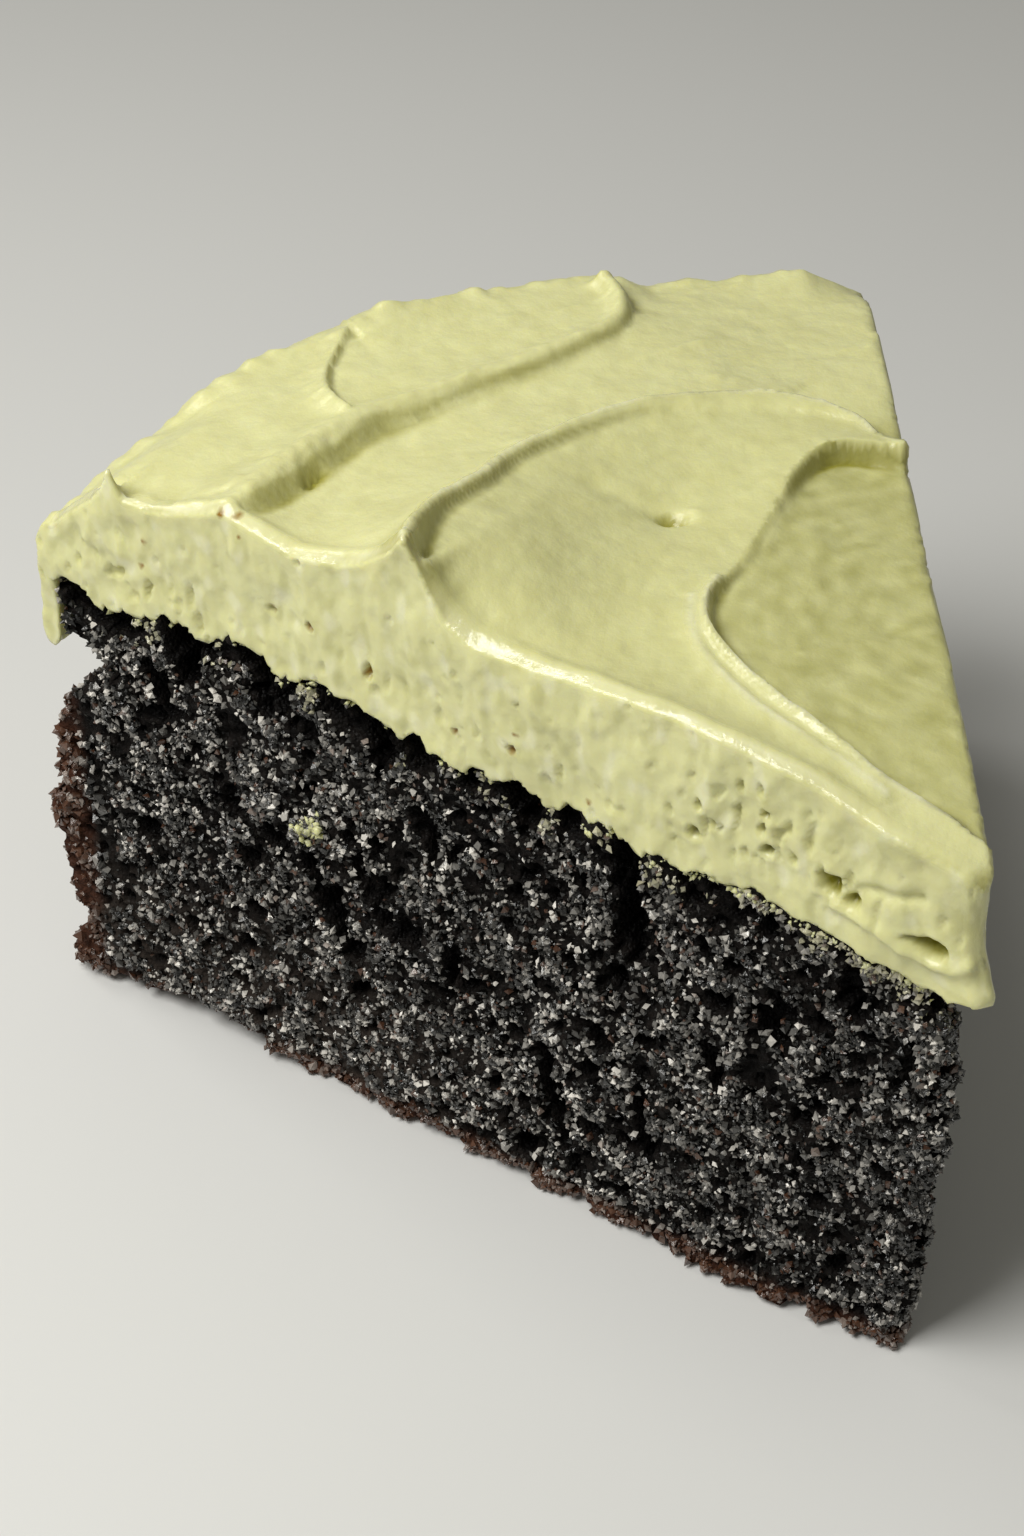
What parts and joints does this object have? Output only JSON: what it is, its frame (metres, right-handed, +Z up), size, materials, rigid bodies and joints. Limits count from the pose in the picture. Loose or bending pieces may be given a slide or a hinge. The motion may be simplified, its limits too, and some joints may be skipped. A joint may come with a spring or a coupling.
{
  "type": "slice of chocolate cake",
  "caption": "Wedge of single-layer dark chocolate sponge under thick pale green frosting with swept spatula ridges and a short skirt down the outer wall.",
  "frame": {"origin": "centre of the bounding box's bottom, on the surface that the slice stands on", "axes": "+Z up; +Y along the middle of the wedge, from its tip to its outer wall; +X to the right seen from the tip"},
  "size_m": [0.1, 0.107, 0.0741],
  "materials": {
    "sponge": "dark cocoa sponge, torn open crumb with moist glints",
    "frosting": "pale yellow-green frosting, soft satin with wet edges"
  },
  "bodies": {
    "root": {"sponge": "sponge", "frosting": "frosting"}
  },
  "joints": []
}
